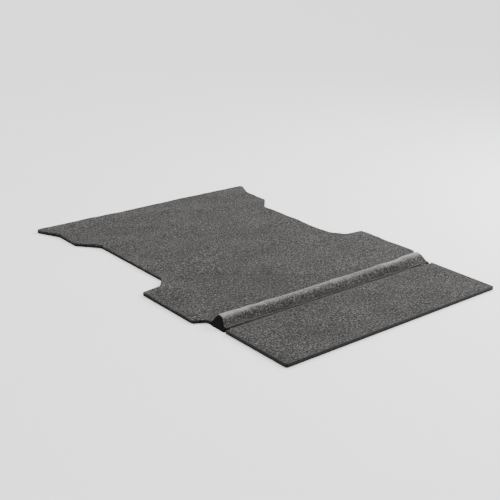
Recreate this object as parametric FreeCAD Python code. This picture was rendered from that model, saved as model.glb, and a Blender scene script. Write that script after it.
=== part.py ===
import FreeCAD, Part
import math
import os

# Carpeted bed liner for a full-size pickup with a 5.5 ft bed, in millimetres.
# +X is the truck's right-hand side, +Y points to the cab, +Z is up.
# Inside this script Y is counted from the seam between the floor mat and the
# gap guard. Export moves everything so that the origin is the centre of the
# footprint, on the surface that the liner lies on.

Vector = FreeCAD.Vector

# Mat make-up
foam_thickness = 13.0
carpet_thickness = 6.0
mat_thickness = foam_thickness + carpet_thickness
rolled_edge_radius = 5.5

# Floor mat outline, half widths and distances forward of the seam
floor_front = 1700.0
floor_side = 828.0
floor_rear_gap = 1.0
tail_half_width = 760.0
tail_corner_radius = 5.0
tail_notch_front = 30.0
tail_notch_end = 62.0
well_inner = 638.0
well_rear = 508.0
well_rear_slope_x = 705.0
well_rear_slope_y = 519.0
well_rear_inner = 597.0
well_front_inner = 1229.0
ledge_half_width = 745.0
ledge_rear = 1346.0
ledge_front = 1539.0

# Gap guard, a padded wedge behind the seam
guard_foot_half_length = 765.0
guard_crest_half_length = 740.0
guard_front = -0.8
guard_rear = -109.5
guard_foam_rear = -108.0
guard_height = 58.5
crest_back = 38.0
crest_radius = 22.0
back_radius = 40.0
back_slope = math.radians(48.0)
foot_radius = 30.0
hem_slope = math.radians(4.0)
hem_height = 18.9
toe_radius = 3.0
backing_thickness = 1.2
end_cap_thickness = 6.0
end_cap_setback = 1.0
end_lean = (guard_foot_half_length - guard_crest_half_length) / guard_height

# Tailgate mat
tailgate_half_width = 764.0
tailgate_front = -124.0
tailgate_foam_front = -123.5
tailgate_rear = -568.0
tailgate_corner_radius = 15.0
binding_wall = 1.5
binding_flange = 9.0
binding_cloth = 1.2

# Fold lines and the tapes sewn between carpet and foam
tape_half_length = 752.0
front_tape_thickness = 1.0
front_tape_reach = 30.0
zip_tape_thickness = 0.9
zip_z = foam_thickness + zip_tape_thickness / 2
chain_y = -115.5
rear_fold_y = -122.5
guard_tape_front = -96.0
tailgate_tape_rear = -142.0
tape_tuck = 1.0
fold_clearance = 0.4

# Zipper teeth, stops, box and pin
tooth_pitch = 5.0
tooth_width = 2.1
tooth_reach = 1.1
rail_inner = 2.2
rail_outer = 3.9
teeth_thickness = 3.4
first_tooth_offset = 1.0
row_end_gap = 0.3
chain_half_length = 720.0
stop_length = 3.0
box_length = 10.0
box_height = 4.2
box_wall = 1.5
pin_length = 27.0
pin_size = 1.9
pin_clearance = 0.3

# Slider and pull tab
slider_length = 18.0
slider_half_width = 5.5
slider_plate = 1.2
slider_flange = 1.0
slider_play = 0.4
slider_corner_radius = 2.0
slider_rest_x = 710.0
crown_half_length = 4.6
crown_height = 3.45
crown_thickness = 1.3
crown_width = 2.4
crown_corner_radius = 1.8
tab_length = 32.0
tab_half_width = 3.5
tab_thickness = 1.4
tab_eye_half_width = 1.7
tab_eye_length = 5.6
tab_corner_radius = 3.0
tab_hole_radius = 1.5
tab_hole_setback = 3.9

# Hook-and-loop fastening, three layers in a pocket in the foam
strip_length = 150.0
strip_width = 50.0
adhesive_thickness = 0.4
hook_thickness = 2.0
loop_thickness = 1.6
pocket_margin = 1.0
floor_strip_columns = (-540.0, 0.0, 540.0)
floor_strip_rows = (150.0, 560.0, 1060.0, 1480.0)
tailgate_strip_columns = (-560.0, 0.0, 560.0)
tailgate_strip_rows = (-210.0, -490.0)

# Cutting tools reach this far past what they cut
cutting_margin = 1.0

origin_y = (floor_front + tailgate_rear) / 2


def box(x0, x1, y0, y1, z0, z1):
    return Part.makeBox(x1 - x0, y1 - y0, z1 - z0, Vector(x0, y0, z0))


def rounded_edges(corners):
    """Edges of a closed outline whose corners are (point, radius)."""
    starts, ends, middles = [], [], []
    count = len(corners)
    for i, (point, radius) in enumerate(corners):
        to_last = (corners[i - 1][0] - point).normalize()
        to_next = (corners[(i + 1) % count][0] - point).normalize()
        half_angle = to_last.getAngle(to_next) / 2
        cut = radius / math.tan(half_angle)
        inward = (to_last + to_next).normalize()
        starts.append(point + to_last * cut)
        ends.append(point + to_next * cut)
        middles.append(point + inward * (radius / math.sin(half_angle) - radius))
    edges = []
    for i in range(count):
        if corners[i][1] > 0:
            edges.append(Part.Arc(starts[i], middles[i], ends[i]).toShape())
        edges.append(Part.LineSegment(ends[i], starts[(i + 1) % count]).toShape())
    return edges


def plate(corners, z0, z1):
    """A flat plate from corners given as (x, y, radius)."""
    points = [(Vector(x, y, z0), radius) for x, y, radius in corners]
    face = Part.Face(Part.Wire(rounded_edges(points)))
    return face.extrude(Vector(0, 0, z1 - z0))


def along_x(edges, half_length):
    """A bar along X whose cross-section is the closed outline in the YZ plane."""
    face = Part.Face(Part.Wire(edges))
    face.translate(Vector(-half_length, 0, 0))
    return face.extrude(Vector(2 * half_length, 0, 0))


def rolled_edge_cutter(edge_y, inward, half_length):
    """What rounds a mat's top edge at edge_y. Inward is the mat's side, +1 or -1."""
    radius = rolled_edge_radius
    centre = Vector(0, edge_y + inward * radius, mat_thickness - radius)
    middle = centre + Vector(0, -inward, 1) * (radius * math.sqrt(0.5))
    low = Vector(0, edge_y, mat_thickness - radius)
    high = Vector(0, edge_y + inward * radius, mat_thickness)
    outside = Vector(0, edge_y - inward * radius, mat_thickness - radius)
    above = outside + Vector(0, 0, 2 * radius)
    over = high + Vector(0, 0, radius)
    edges = [Part.Arc(low, middle, high).toShape()]
    corners = [high, over, above, outside, low]
    for start, end in zip(corners, corners[1:]):
        edges.append(Part.LineSegment(start, end).toShape())
    return along_x(edges, half_length)


def tape_strip(half_length, rear, front, thickness):
    """A straight tape lying on the foam, or the room for one."""
    return box(-half_length, half_length, rear, front, foam_thickness, foam_thickness + thickness)


# Hook-and-loop layers


def strip_group(columns, rows, z0, thickness, margin):
    """One layer of every strip in a grid, as separate solids."""
    half_length = strip_length / 2 + margin
    half_width = strip_width / 2 + margin
    strips = []
    for y in rows:
        for x in columns:
            strip = Part.makeBox(2 * half_length, 2 * half_width, thickness)
            strip.translate(Vector(x - half_length, y - half_width, z0))
            strips.append(strip)
    return Part.makeCompound(strips)


def fastening_layers(columns, rows, prefix):
    """Adhesive, hook strip and loop patch, from the bottom up, and their pocket."""
    hook_z = adhesive_thickness
    loop_z = hook_z + hook_thickness
    depth = loop_z + loop_thickness
    layers = {
        prefix + "_adhesive_pads": strip_group(columns, rows, 0.0, adhesive_thickness, 0.0),
        prefix + "_hook_strips": strip_group(columns, rows, hook_z, hook_thickness, 0.0),
        prefix + "_loop_patches": strip_group(columns, rows, loop_z, loop_thickness, 0.0),
    }
    return layers, strip_group(columns, rows, 0.0, depth, pocket_margin)


# Floor mat


def floor_outline():
    """Corners of the floor mat, right half and its mirror image."""
    right = [
        (tail_half_width, floor_rear_gap, tail_corner_radius),
        (tail_half_width, tail_notch_front, 12.0),
        (floor_side, tail_notch_end, 14.0),
        (floor_side, well_rear, 12.0),
        (well_rear_slope_x, well_rear_slope_y, 30.0),
        (well_inner, well_rear_inner, 45.0),
        (well_inner, well_front_inner, 35.0),
        (ledge_half_width, ledge_rear, 14.0),
        (ledge_half_width, ledge_front, 20.0),
        (floor_side, floor_front, 20.0),
    ]
    left = [(-x, y, radius) for x, y, radius in reversed(right)]
    return right + left


def make_floor_mat():
    outline = floor_outline()
    layers, pockets = fastening_layers(floor_strip_columns, floor_strip_rows, "floor")
    foam = plate(outline, 0.0, foam_thickness).cut(pockets)
    carpet = plate(outline, foam_thickness, mat_thickness)
    carpet = carpet.cut(rolled_edge_cutter(floor_rear_gap, 1, floor_side))
    recess = tape_strip(tape_half_length, 0.0, front_tape_reach, front_tape_thickness)
    tape = tape_strip(tape_half_length, fold_clearance, front_tape_reach, front_tape_thickness)
    nodes = {"floor_foam": foam, "floor_carpet": carpet.cut(recess), "front_hinge_tape_floor_side": tape}
    nodes.update(layers)
    return nodes


# Gap guard


def sloped_up(angle):
    """The upward normal of a face that falls away to the rear at this angle."""
    return Vector(0, -math.sin(angle), math.cos(angle))


def guard_section():
    """Outer cross-section of the guard's carpet, carried on below the carpet's foot.

    From the front foot it rises straight to the crest, rolls over, falls away along a
    convex back, and flares out through a hollow foot into a flat hem behind.
    """
    crest = Vector(0, -crest_back, guard_height - crest_radius)
    toe = Vector(0, guard_rear + toe_radius, foam_thickness + toe_radius)
    foot = Vector(0, guard_front, foam_thickness)
    below = Vector(0, 0, 2 * carpet_thickness)

    # Front face: the tangent from the foot to the crest's circle
    to_crest = crest - foot
    lean = math.atan2(to_crest.z, to_crest.y)
    front_angle = lean - math.asin(crest_radius / to_crest.Length)
    front_normal = Vector(0, math.sin(front_angle), -math.cos(front_angle))
    front_top = crest + front_normal * crest_radius
    crest_top = crest + Vector(0, 0, crest_radius)
    shoulder = crest + (front_normal + Vector(0, 0, 1)).normalize() * crest_radius

    # Back: a convex arc, a straight stretch and a hollow arc, each tangent to the next
    back_centre = crest_top - Vector(0, 0, back_radius)
    back_end = back_centre + sloped_up(back_slope) * back_radius
    back_middle = back_centre + sloped_up(back_slope / 2) * back_radius
    hollow_drop = foot_radius * (math.cos(hem_slope) - math.cos(back_slope))
    straight_drop = back_end.z - hem_height - hollow_drop
    straight_end = back_end + Vector(0, -straight_drop / math.tan(back_slope), -straight_drop)
    foot_centre = straight_end + sloped_up(back_slope) * foot_radius
    foot_end = foot_centre - sloped_up(hem_slope) * foot_radius
    foot_middle = foot_centre - sloped_up((back_slope + hem_slope) / 2) * foot_radius

    # Hem and rounded toe
    toe_top = toe + Vector(0, 0, toe_radius)
    toe_turn = toe + Vector(0, -1, 1).normalize() * toe_radius
    toe_back = toe + Vector(0, -toe_radius, 0)
    return [
        Part.LineSegment(foot - below, foot).toShape(),
        Part.LineSegment(foot, front_top).toShape(),
        Part.Arc(front_top, shoulder, crest_top).toShape(),
        Part.Arc(crest_top, back_middle, back_end).toShape(),
        Part.LineSegment(back_end, straight_end).toShape(),
        Part.Arc(straight_end, foot_middle, foot_end).toShape(),
        Part.LineSegment(foot_end, toe_top).toShape(),
        Part.Arc(toe_top, toe_turn, toe_back).toShape(),
        Part.LineSegment(toe_back, toe_back - below).toShape(),
        Part.LineSegment(toe_back - below, foot - below).toShape(),
    ]


def guard_bar(section):
    """A bar of this section above the base foam, longer than the guard."""
    face = section.copy()
    face.translate(Vector(-guard_foot_half_length, 0, 0))
    bar = face.extrude(Vector(2 * guard_foot_half_length, 0, 0))
    above_base = box(
        -guard_foot_half_length, guard_foot_half_length, guard_rear - cutting_margin, cutting_margin,
        foam_thickness, guard_height + cutting_margin,
    )
    return bar.common(above_base)


def between_ends(inset):
    """The space between the guard's two ends, which lean in towards the crest."""
    low = -cutting_margin
    high = guard_height + cutting_margin
    low_x = guard_foot_half_length - inset - end_lean * low
    high_x = guard_foot_half_length - inset - end_lean * high
    rear = guard_rear - cutting_margin
    points = [Vector(x, rear, z) for x, z in ((-low_x, low), (low_x, low), (high_x, high), (-high_x, high))]
    points.append(points[0])
    return Part.Face(Part.makePolygon(points)).extrude(Vector(0, cutting_margin - rear, 0))


def make_guard_padding():
    section = Part.Face(Part.Wire(guard_section()))
    whole = guard_bar(section)
    wedge = guard_bar(section.makeOffset2D(-carpet_thickness))
    inside_caps = between_ends(end_cap_thickness)
    half = guard_foot_half_length
    base = box(-half, half, guard_foam_rear, guard_front, backing_thickness, foam_thickness)
    backing = box(-half, half, guard_foam_rear, guard_front, 0.0, backing_thickness)
    front_end = guard_front + fold_clearance
    room = tape_strip(half, -front_tape_reach, front_end, front_tape_thickness)
    room = room.fuse(tape_strip(half, guard_rear - tape_tuck, guard_tape_front, zip_tape_thickness))
    return {
        "guard_cover": whole.cut(wedge).common(inside_caps).cut(room),
        "guard_wedge_foam": wedge.common(inside_caps).cut(room),
        "guard_base_foam": base.common(inside_caps),
        "guard_backing": backing.common(between_ends(0.0)),
        "front_hinge_tape_guard_side": tape_strip(
            tape_half_length, -front_tape_reach, front_end, front_tape_thickness,
        ),
    }


def make_end_caps():
    """The panel that closes each end of the guard, a little inside the carpet's outline."""
    section = Part.Face(Part.Wire(guard_section()))
    upper = guard_bar(section.makeOffset2D(-end_cap_setback))
    half = guard_foot_half_length
    front = guard_front - end_cap_setback
    lower = box(-half, half, guard_foam_rear, front, backing_thickness, foam_thickness)
    both = upper.fuse(lower).removeSplitter()
    both = both.common(between_ends(0.0)).cut(between_ends(end_cap_thickness))
    left, right = sorted(both.Solids, key=lambda solid: solid.BoundBox.XMin)
    return {"guard_end_cap_left": left, "guard_end_cap_right": right}


# Zipper


def teeth_row(side, start, end, offset):
    """A moulded row of teeth: a rail beside the chain's middle line with teeth across it.

    side is +1 for the guard's row and -1 for the tailgate's.
    """
    outline = [(start, rail_outer), (start, rail_inner)]
    x = -chain_half_length + offset
    while x + tooth_width < end:
        if x > start:
            far_x = x + tooth_width
            outline += [(x, rail_inner), (x, -tooth_reach), (far_x, -tooth_reach), (far_x, rail_inner)]
        x += tooth_pitch
    outline += [(end, rail_inner), (end, rail_outer)]
    z0 = zip_z - teeth_thickness / 2
    points = [Vector(x, chain_y + side * y, z0) for x, y in outline]
    points.append(points[0])
    return Part.Face(Part.makePolygon(points)).extrude(Vector(0, 0, teeth_thickness))


def make_zip_tapes():
    half = tape_half_length
    thickness = zip_tape_thickness
    fold_front = rear_fold_y + fold_clearance
    fold_rear = rear_fold_y - fold_clearance
    return {
        "guard_zip_tape": tape_strip(half, chain_y + rail_outer, guard_tape_front, thickness),
        "tailgate_zip_tape_chain_edge": tape_strip(half, fold_front, chain_y - rail_outer, thickness),
        "tailgate_zip_tape": tape_strip(half, tailgate_tape_rear, fold_rear, thickness),
    }


def pin_span():
    """Where the insertion pin starts and ends along X."""
    start = -chain_half_length - box_length + box_wall + pin_clearance
    return start, start + pin_length


def beside_chain(x0, x1, inner, outer, side, height):
    """A block beside the chain's middle line, from inner to outer on that side of it."""
    y0, y1 = sorted((chain_y + side * inner, chain_y + side * outer))
    return box(x0, x1, y0, y1, zip_z - height / 2, zip_z + height / 2)


def make_zip_ends():
    """Retainer box and insertion pin at the left end, and a pair of top stops at the right."""
    box_x = -chain_half_length - box_length
    pin_start, pin_end = pin_span()
    pin_inner = rail_outer - pin_size
    pin = beside_chain(pin_start, pin_end, pin_inner, rail_outer, -1, pin_size)
    hole = beside_chain(
        box_x + box_wall, -chain_half_length, pin_inner - pin_clearance, rail_outer + pin_clearance,
        -1, pin_size + 2 * pin_clearance,
    )
    retainer = beside_chain(box_x, -chain_half_length, -rail_outer, rail_outer, -1, box_height)
    stop_x = chain_half_length + row_end_gap
    stops = [
        beside_chain(stop_x, stop_x + stop_length, row_end_gap, rail_outer, side, teeth_thickness)
        for side in (-1, 1)
    ]
    return {
        "zip_retainer_box": retainer.cut(hole),
        "zip_insertion_pin": pin,
        "zip_top_stops": Part.makeCompound(stops),
    }


def make_zipper_chain():
    """Tapes, ends and both rows. The tailgate's teeth sit half a pitch along from the guard's."""
    nodes = make_zip_tapes()
    nodes.update(make_zip_ends())
    guard_start = -chain_half_length + row_end_gap
    tailgate_start = pin_span()[1] + row_end_gap
    end = chain_half_length
    other_offset = first_tooth_offset + tooth_pitch / 2
    nodes["zip_teeth_guard_side"] = teeth_row(1, guard_start, end, first_tooth_offset)
    nodes["zip_teeth_tailgate_side"] = teeth_row(-1, tailgate_start, end, other_offset)
    return nodes


def slider_shell(up):
    """One half of the slider, above (up = 1) or below (up = -1) the tapes."""
    half_chain = teeth_thickness / 2 + slider_play
    half_tape = zip_tape_thickness / 2 + slider_play
    x0 = slider_rest_x - slider_length / 2
    x1 = slider_rest_x + slider_length / 2
    corners = [
        (x0, chain_y - slider_half_width, slider_corner_radius),
        (x1, chain_y - slider_half_width, slider_corner_radius),
        (x1, chain_y + slider_half_width, slider_corner_radius),
        (x0, chain_y + slider_half_width, slider_corner_radius),
    ]
    z_inner = zip_z + up * half_tape
    z_outer = zip_z + up * (half_chain + slider_plate)
    shell = plate(corners, min(z_inner, z_outer), max(z_inner, z_outer))
    channel_z = sorted((zip_z, zip_z + up * half_chain))
    half_channel = slider_half_width - slider_flange
    return shell.cut(box(x0, x1, chain_y - half_channel, chain_y + half_channel, *channel_z))


def slider_top_z():
    return zip_z + teeth_thickness / 2 + slider_play + slider_plate


def make_slider():
    shells = Part.makeCompound([slider_shell(1), slider_shell(-1)])
    top_z = slider_top_z()
    y0 = chain_y - crown_width / 2
    corners = [
        (Vector(slider_rest_x - crown_half_length, y0, top_z), 0.0),
        (Vector(slider_rest_x + crown_half_length, y0, top_z), 0.0),
        (Vector(slider_rest_x + crown_half_length, y0, top_z + crown_height), crown_corner_radius),
        (Vector(slider_rest_x - crown_half_length, y0, top_z + crown_height), crown_corner_radius),
    ]
    arch = Part.Face(Part.Wire(rounded_edges(corners))).extrude(Vector(0, crown_width, 0))
    inner = crown_half_length - crown_thickness
    window = box(
        slider_rest_x - inner, slider_rest_x + inner, y0, y0 + crown_width,
        top_z, top_z + crown_height - crown_thickness,
    )
    return {"slider_body": shells, "slider_crown": arch.cut(window)}


def make_pull_tab():
    """A flat tab whose cross bar turns under the crown. It lies back over the closed chain."""
    pivot = Vector(slider_rest_x, chain_y, slider_top_z() + (crown_height - crown_thickness) / 2)
    z0 = pivot.z - tab_thickness / 2
    corners = [
        (pivot.x, chain_y + tab_half_width, 0.0),
        (pivot.x - tab_length, chain_y + tab_half_width, tab_corner_radius),
        (pivot.x - tab_length, chain_y - tab_half_width, tab_corner_radius),
        (pivot.x, chain_y - tab_half_width, 0.0),
    ]
    tab = plate(corners, z0, z0 + tab_thickness)
    eye = box(
        pivot.x - tab_eye_length, pivot.x + tab_thickness, chain_y - tab_eye_half_width,
        chain_y + tab_eye_half_width, z0, z0 + tab_thickness,
    )
    bar_start = Vector(pivot.x, chain_y - tab_half_width, pivot.z)
    bar = Part.makeCylinder(tab_thickness / 2, 2 * tab_half_width, bar_start, Vector(0, 1, 0))
    hole_x = pivot.x - tab_length + tab_hole_setback
    hole = Part.makeCylinder(tab_hole_radius, tab_thickness, Vector(hole_x, chain_y, z0))
    return {"pull_tab": tab.cut(eye).cut(hole).fuse(bar).removeSplitter()}


# Tailgate mat


def tailgate_outline(inset, front):
    """Corners of the tailgate mat, drawn in by inset on every side but the front."""
    half = tailgate_half_width - inset
    radius = tailgate_corner_radius - inset
    rear = tailgate_rear + inset
    return [(half, front, 0.0), (-half, front, 0.0), (-half, rear, radius), (half, rear, radius)]


def tailgate_slab(inset, front, z0, z1):
    return plate(tailgate_outline(inset, front), z0, z1)


def make_tailgate_mat():
    layers, pockets = fastening_layers(tailgate_strip_columns, tailgate_strip_rows, "tailgate")
    under_cloth = mat_thickness - binding_cloth
    foam = tailgate_slab(binding_wall, tailgate_foam_front, binding_cloth, foam_thickness)
    foam = foam.fuse(tailgate_slab(binding_flange, tailgate_foam_front, 0.0, binding_cloth)).removeSplitter()
    carpet = tailgate_slab(binding_wall, tailgate_front, foam_thickness, under_cloth)
    pile = tailgate_slab(binding_flange, tailgate_front, under_cloth, mat_thickness)
    carpet = carpet.fuse(pile).removeSplitter()
    roll = rolled_edge_cutter(tailgate_front, -1, tailgate_half_width)
    recess = tape_strip(tape_half_length, tailgate_tape_rear, tailgate_front, zip_tape_thickness)
    whole = tailgate_slab(0.0, tailgate_front, 0.0, mat_thickness)
    filling = tailgate_slab(binding_wall, tailgate_front, binding_cloth, under_cloth)
    flange_window = tailgate_slab(binding_flange, tailgate_front, 0.0, mat_thickness)
    binding = whole.cut(filling).cut(flange_window)
    nodes = {
        "tailgate_foam": foam.cut(pockets),
        "tailgate_carpet": carpet.cut(roll).cut(recess),
        "tailgate_edge_binding": binding.cut(roll),
    }
    nodes.update(layers)
    return nodes


def main():
    os.makedirs("parts", exist_ok=True)
    nodes = {}
    for make in (
        make_floor_mat, make_guard_padding, make_end_caps, make_zipper_chain,
        make_slider, make_pull_tab, make_tailgate_mat,
    ):
        nodes.update(make())
    for name, shape in nodes.items():
        shape.translate(Vector(0, -origin_y, 0))
        shape.exportStep("parts/" + name + ".step")
        span = shape.BoundBox
        print(f"{name:32s} solids {len(shape.Solids):3d}   valid {shape.isValid()}")
        print(f"    volume {shape.Volume / 1000:9.2f} cm3")
        print(f"    x {span.XMin:8.1f} {span.XMax:8.1f}   y {span.YMin:8.1f} {span.YMax:8.1f}")
        print(f"    z {span.ZMin:8.2f} {span.ZMax:8.2f}")


main()
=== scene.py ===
"""A carpeted truck bed liner: the looks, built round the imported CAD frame. Metres throughout."""

import math

import bmesh
import bpy
import numpy as np
from mathutils import Matrix, Vector, geometry


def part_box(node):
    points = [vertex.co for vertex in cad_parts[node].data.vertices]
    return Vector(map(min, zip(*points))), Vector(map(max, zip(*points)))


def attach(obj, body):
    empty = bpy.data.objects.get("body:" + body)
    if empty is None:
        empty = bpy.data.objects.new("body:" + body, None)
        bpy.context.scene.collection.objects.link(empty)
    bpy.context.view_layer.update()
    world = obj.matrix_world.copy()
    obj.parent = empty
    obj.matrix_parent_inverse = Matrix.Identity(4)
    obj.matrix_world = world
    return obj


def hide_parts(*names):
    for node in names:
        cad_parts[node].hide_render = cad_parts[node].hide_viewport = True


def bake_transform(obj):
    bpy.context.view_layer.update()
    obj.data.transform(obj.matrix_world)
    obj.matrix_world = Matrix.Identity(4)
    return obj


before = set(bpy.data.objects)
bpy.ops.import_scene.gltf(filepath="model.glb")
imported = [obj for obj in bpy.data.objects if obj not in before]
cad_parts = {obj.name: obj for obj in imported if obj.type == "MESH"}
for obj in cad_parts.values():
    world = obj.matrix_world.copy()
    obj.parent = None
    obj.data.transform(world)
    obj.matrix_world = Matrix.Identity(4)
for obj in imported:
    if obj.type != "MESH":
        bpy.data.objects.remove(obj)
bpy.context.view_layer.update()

MM = 0.001

# Camera
CAMERA_PLACE = (-3.377, -3.940, 2.026)
CAMERA_YAW = math.radians(40.27)
CAMERA_PITCH = math.radians(20.84)
CAMERA_ROLL = math.radians(1.59)
CAMERA_LENS = 68.5

# Mesh spacing
EDGE_STEP = 6 * MM
PILE_STEP = 7.5 * MM
GUARD_STEP = 6 * MM
FINE_STEP = 2.5 * MM
CORNER_SOFTENING = 2
INSIDE_ONLY = 1
MERGE_DISTANCE = 1e-7
SAME_PLACE = 0.01 * MM
CAD_JOIN = 0.002 * MM
LEFTOVER = 0.005 * MM
FLAT_ANGLE = math.radians(1)
SHARP_ANGLE = math.radians(35)

# Soft parts
PILE_EDGE = 2.6 * MM
ROLLED_EDGE = 5.5 * MM
NAP_HEIGHT = 0.22 * MM
BINDING_CLOTH = 1.2 * MM
BINDING_FLANGE = 9 * MM
MAT_CORNER = 15 * MM
MAT_FRONT_CORNER = 2 * MM
COVER_SWELL = 3.5 * MM
COVER_END_EASING = 1.8 * MM
COVER_END_REACH = 4.5 * MM
TOE_LIP = 2 * MM
TOE_REACH = 10 * MM
BACKING_TRIM = 1.5 * MM
PANEL_EDGE = 1.6 * MM
PANEL_CROWN = 0.9 * MM
PIPING_RADIUS = 2.8 * MM
PIPING_STAND = 1.7 * MM
SWELL_FRAMES = 20

# Pile colour
PILE_MEAN = 0.033
PILE_WARMTH = 0.045
# Share by which the painted highlight on the guard's crest evens the pile towards its mean colour
PAINTED_LIGHT_BLEND = 0.75

# Sewing
THREAD_RADIUS = 0.55 * MM
THREAD_DIVE = 1.1 * MM
THREAD_SIDES = 6
THREAD_SHAPE = ((-1, 0.35), (-0.72, 0.85), (-0.3, 1), (0.3, 1), (0.72, 0.85), (1, 0.35))
STITCH_PITCH = 7 * MM
STITCH_LENGTH = 5.6 * MM
STITCH_INSET = 6.3 * MM
SEAM_SETBACK = 12 * MM

# Zipper teeth
TOOTH_HEAD = 1.2 * MM
TOOTH_NECK = 0.85 * MM
TOOTH_ROOT = 0.8 * MM
HEAD_LENGTH = 1.8 * MM
SHOULDER_LENGTH = 2.6 * MM
TOOTH_EASING = 0.4 * MM
RAIL_WIDTH = 1.7 * MM


def make_camera():
    """The viewpoint behind the left rear corner, looking forward and down over the mats."""
    camera = bpy.data.objects.new("camera", bpy.data.cameras.new("camera"))
    camera.data.lens = CAMERA_LENS
    camera.data.clip_end = 200
    heading = Matrix.Rotation(-CAMERA_YAW, 4, "Z")
    tilt = Matrix.Rotation(math.pi / 2 - CAMERA_PITCH, 4, "X")
    roll = Matrix.Rotation(CAMERA_ROLL, 4, "Z")
    camera.matrix_world = Matrix.Translation(CAMERA_PLACE) @ heading @ tilt @ roll
    bpy.context.scene.collection.objects.link(camera)
    bpy.context.scene.camera = camera


make_camera()


# Materials


def grey(value, warmth=0.0):
    """A grey, a little warm or cool."""
    return (value * (1 + warmth), value, value * (1 - warmth), 1)


class Shader:
    """A new principled material. Keywords are numbers for the shader's own sockets."""

    def __init__(self, name, roughness, **sockets):
        self.material = bpy.data.materials.new(name)
        self.material.use_nodes = True
        self.tree = self.material.node_tree
        self.sockets = self.tree.nodes["Principled BSDF"].inputs
        self.sockets["Roughness"].default_value = roughness
        for socket, value in sockets.items():
            self.sockets[socket.replace("_", " ")].default_value = value
        self.place = self.add("TexCoord").outputs["Object"]

    def add(self, kind, inputs=None, **settings):
        """Adds a node. An input is given a number, a colour or another node's output."""
        made = self.tree.nodes.new("ShaderNode" + kind)
        for name, value in settings.items():
            setattr(made, name, value)
        for name, value in (inputs or {}).items():
            if isinstance(value, bpy.types.NodeSocket):
                self.tree.links.new(value, made.inputs[name])
            else:
                made.inputs[name].default_value = value
        return made

    def wire(self, socket, output):
        """Connects an output to one of the shader's own sockets."""
        self.tree.links.new(output, self.sockets[socket])

    def shade(self, factor, *stops):
        """Gives the shader a base colour of greys."""
        self.wire("Base Color", self.ramp(factor, *stops))

    def ramp(self, factor, *stops, warmth=0.0):
        """A ramp of greys from (position, value) stops, the lowest and the highest first."""
        made = self.add("ValToRGB", {"Fac": factor})
        elements = made.color_ramp.elements
        for element, (position, value) in zip(elements, stops):
            element.position = position
            element.color = grey(value, warmth)
        for position, value in stops[2:]:
            elements.new(position).color = grey(value, warmth)
        return made.outputs["Color"]

    def stretched(self, scale, place=None):
        return self.add("Mapping", {"Vector": place or self.place, "Scale": scale}).outputs["Vector"]

    def noise(self, scale, detail, roughness=0.5, distortion=0.0, place=None):
        inputs = {
            "Vector": place or self.place, "Scale": scale, "Detail": detail, "Roughness": roughness,
            "Distortion": distortion,
        }
        return self.add("TexNoise", inputs).outputs["Fac"]

    def cells(self, scale, feature="F1"):
        made = self.add("TexVoronoi", {"Vector": self.place, "Scale": scale}, feature=feature)
        return made.outputs["Distance"]

    def ribs(self, scale, direction, distortion=0.0, detail_scale=1.0):
        inputs = {"Vector": self.place, "Scale": scale, "Distortion": distortion}
        inputs["Detail Scale"] = detail_scale
        return self.add("TexWave", inputs, wave_type="BANDS", bands_direction=direction).outputs["Fac"]

    def maths(self, operation, a, b, c=0.0, clamp=False):
        return self.add("Math", {0: a, 1: b, 2: c}, operation=operation, use_clamp=clamp).outputs["Value"]

    def mixed(self, factor, a, b, blend="MIX"):
        return self.add("Mix", {0: factor, 6: a, 7: b}, data_type="RGBA", blend_type=blend).outputs[2]

    def bump(self, *layers):
        """Bump from (height, distance in metres, strength) layers, the coarsest first."""
        normal = None
        for height, distance, strength in layers:
            inputs = {"Height": height, "Distance": distance, "Strength": strength}
            if normal is not None:
                inputs["Normal"] = normal
            normal = self.add("Bump", inputs).outputs["Normal"]
        self.wire("Normal", normal)


def tangled_fibres(shader, scale):
    """Fine fibres lying across each other in three directions."""
    tangle = None
    for turn, offset in ((0.3, 0.0), (1.4, 3.0), (2.5, 7.0)):
        laid = shader.add(
            "Mapping", {"Vector": shader.place, "Rotation": (0, 0, turn), "Location": (offset, offset, 0)}
        ).outputs["Vector"]
        fibres = shader.noise(scale, 1, 0.5, 0.5, shader.stretched((1.0, 0.16, 0.6), laid))
        tangle = fibres if tangle is None else shader.maths("MAXIMUM", tangle, fibres)
    return tangle


def carpet_finish(name, sheen, painted_light_by_height=None):
    """Needle-punched pile: tangled dark and light fibres, matt, with a soft bloom at grazing angles.

    The last argument lists (z, how light) stops of painted light by height: a painted highlight along the
    crest and painted shade low down at the hem by the crease.
    """
    shader = Shader(name, 0.92, Sheen_Weight=sheen, Sheen_Roughness=0.35, Specular_IOR_Level=0.12)
    fibres = tangled_fibres(shader, 900)
    flecks = shader.noise(430, 2, 0.6, 0.4)
    tufts = shader.noise(112, 2, 0.72, 0.5)
    patches = shader.noise(6, 4, 0.6, place=shader.stretched((0.6, 1.0, 1.0)))
    heather = shader.maths("MULTIPLY", fibres, 0.28)
    for part, share in ((tufts, 0.54), (flecks, 0.18)):
        heather = shader.maths("ADD", heather, shader.maths("MULTIPLY", part, share))
    colour = shader.ramp(heather, (0.43, 0.003), (0.64, 0.123), (0.53, 0.0222), warmth=PILE_WARMTH)
    worn = shader.ramp(patches, (0.32, 0.70), (0.68, 1.0))
    colour = shader.mixed(1.0, colour, worn, "MULTIPLY")
    # Painted light by height: the crest is lightened and evened towards the mean pile colour as a painted
    # highlight, and the hem by the crease is darkened as painted shade.
    if painted_light_by_height:
        height = shader.add("SeparateXYZ", {"Vector": shader.place}).outputs["Z"]
        top_z = max(z for z, tone in painted_light_by_height)
        most = max(tone for z, tone in painted_light_by_height)
        stops = [(z / top_z, tone / most) for z, tone in painted_light_by_height]
        tone = shader.ramp(shader.maths("DIVIDE", height, top_z, clamp=True), *stops)
        even = grey(PILE_MEAN, PILE_WARMTH)
        colour = shader.mixed(shader.maths("MULTIPLY", tone, PAINTED_LIGHT_BLEND), colour, even)
        colour = shader.mixed(1.0, shader.mixed(1.0, colour, tone, "MULTIPLY"), grey(most), "MULTIPLY")
    shader.wire("Base Color", colour)
    shader.bump((tufts, 0.0012, 0.5), (fibres, 0.0007, 0.8))
    return shader


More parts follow.
